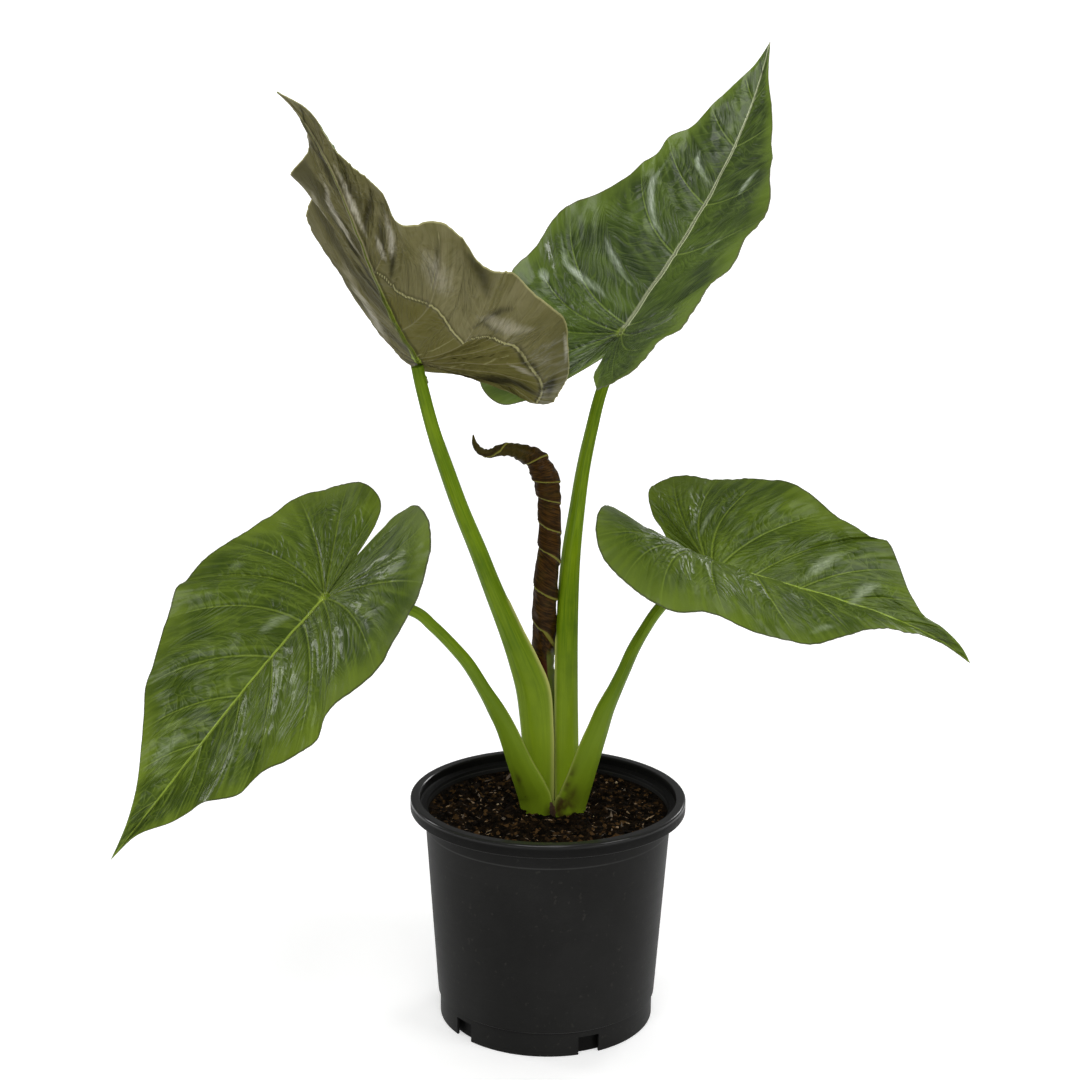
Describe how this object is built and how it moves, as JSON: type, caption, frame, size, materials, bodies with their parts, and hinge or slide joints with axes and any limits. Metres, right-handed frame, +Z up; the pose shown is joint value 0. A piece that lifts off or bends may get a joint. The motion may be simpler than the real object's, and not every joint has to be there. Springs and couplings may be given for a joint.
{
  "type": "potted alocasia",
  "caption": "Potted foliage plant: large arrow-shaped leaves on long sheathed stalks and one rolled young leaf, growing from soil in a round black plastic nursery pot.",
  "frame": {"origin": "middle of the pot's flat underside", "axes": "+Z up out of the pot, -Y towards the plant's front"},
  "size_m": [0.5449, 0.3736, 0.6682],
  "materials": {
    "pot": "near-black moulded plastic, satin, lightly scuffed",
    "soil": "moist dark potting mix with wood bits",
    "corm": "fibrous brown skin",
    "stalk_lower_left": "smooth yellow-green skin",
    "stalk_lower_right": "smooth yellow-green skin",
    "stalk_upper_left": "smooth yellow-green skin with a pale sheath margin",
    "stalk_upper_right": "smooth yellow-green skin",
    "blade_lower_left": "glossy puckered green blade",
    "blade_lower_right": "glossy puckered green blade",
    "blade_upper_left": "bronze-olive underside, satin, green upper face",
    "blade_upper_right": "glossy dark green blade",
    "rolled_leaf": "dark chocolate rolled blade with olive edges"
  },
  "bodies": {
    "root": {"pot": "pot", "soil": "soil", "corm": "corm", "stalk_lower_left": "stalk_lower_left", "stalk_lower_right": "stalk_lower_right", "stalk_upper_left": "stalk_upper_left", "stalk_upper_right": "stalk_upper_right", "blade_lower_left": "blade_lower_left", "blade_lower_right": "blade_lower_right", "blade_upper_left": "blade_upper_left", "blade_upper_right": "blade_upper_right", "rolled_leaf": "rolled_leaf"}
  },
  "joints": []
}
